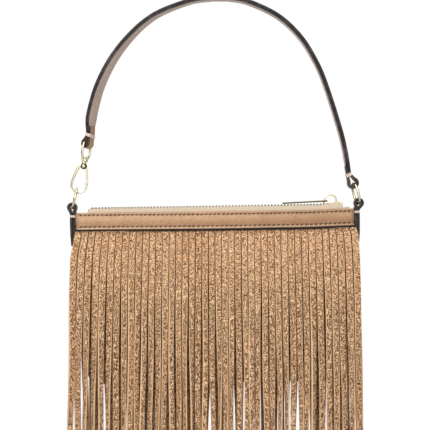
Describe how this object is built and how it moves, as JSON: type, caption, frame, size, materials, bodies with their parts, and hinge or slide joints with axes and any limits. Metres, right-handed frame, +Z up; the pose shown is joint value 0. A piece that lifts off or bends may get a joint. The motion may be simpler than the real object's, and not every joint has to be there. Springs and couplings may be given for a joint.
{
  "type": "fringed suede shoulder bag",
  "caption": "Slim zipped suede pouch with long cut fringe front and back, a smooth leather top band and a short strap on rings and a snap hook.",
  "frame": {"origin": "on the underside of the strap's highest point, where a peg or a shoulder carries the bag", "axes": "+Z up, -Y the front of the bag, +X to the right seen from the front, -Z out of the strap's underside"},
  "size_m": [0.2315, 0.0372, 0.3619],
  "materials": {
    "strap_leather": "smooth leather with a dark painted edge",
    "strap_lining": "pinkish taupe split leather",
    "tab_leather": "smooth leather with a dark painted edge",
    "band_leather": "smooth tan leather",
    "suede": "tan suede",
    "zip_tape": "woven cotton tape",
    "zip_metal": "polished pale gold plating",
    "hardware": "polished pale gold plating",
    "lining": "plain woven cotton"
  },
  "bodies": {
    "strap": {"strap_outer": "strap_leather", "strap_lining": "strap_lining"},
    "bag": {"top_band_front": "band_leather", "top_band_back": "band_leather", "zip_tape_front": "zip_tape", "zip_tape_back": "zip_tape", "zip_teeth_front": "zip_metal", "zip_teeth_back": "zip_metal", "zip_stop_left": "zip_metal", "zip_stop_right": "zip_metal", "fringe_front": "suede", "fringe_back": "suede", "pouch_front": "suede", "pouch_back": "suede", "lining_front": "lining", "lining_back": "lining", "side_tab_left": "tab_leather", "side_tab_right": "tab_leather"},
    "ring_left": {"ring_left": "hardware"},
    "ring_right": {"ring_right": "hardware"},
    "slider": {"zip_slider": "zip_metal"},
    "pull": {"zip_pull": "zip_metal"},
    "eye": {"hook_eye": "hardware"},
    "hook": {"hook_frame": "hardware", "gate_rivet": "hardware"},
    "gate": {"hook_gate": "hardware"}
  },
  "joints": [
    {"name": "bag_swing", "type": "hinge", "parent": "strap", "child": "bag", "pos_m": [-0.0043, 0, -0.1523], "axis": [0.9999, 0, 0.0164], "range_deg": [-45, 45]},
    {"name": "ring_left_pivot", "type": "hinge", "parent": "bag", "child": "ring_left", "pos_m": [-0.11509, 0, -0.16188], "axis": [0, 1, 0], "range_deg": [-1, 3]},
    {"name": "ring_right_pivot", "type": "hinge", "parent": "bag", "child": "ring_right", "pos_m": [0.10805, 0, -0.15822], "axis": [0, 1, 0], "range_deg": [-3, 3]},
    {"name": "zip_slide", "type": "slide", "parent": "bag", "child": "slider", "axis": [0.9999, 0, 0.0164], "range_m": [-0.155, 0]},
    {"name": "pull_lift", "type": "hinge", "parent": "slider", "child": "pull", "pos_m": [0.08618, 0, -0.15622], "axis": [0, 1, 0], "range_deg": [0, 95]},
    {"name": "eye_swing", "type": "hinge", "parent": "strap", "child": "eye", "pos_m": [-0.1034, 0, -0.11151], "axis": [0.3052, 0.9511, -0.0483], "range_deg": [-0.5, 3]},
    {"name": "hook_swivel", "type": "hinge", "parent": "eye", "child": "hook", "pos_m": [-0.1062, 0, -0.12919], "axis": [0.1564, 0, 0.9877], "range_deg": [-10, 10]},
    {"name": "gate_swing", "type": "hinge", "parent": "hook", "child": "gate", "pos_m": [-0.1062, 0, -0.12919], "axis": [0, 1, 0], "range_deg": [0, 22], "stiffness_Nm_per_rad": 0.01, "springref_deg": -20.05}
  ]
}
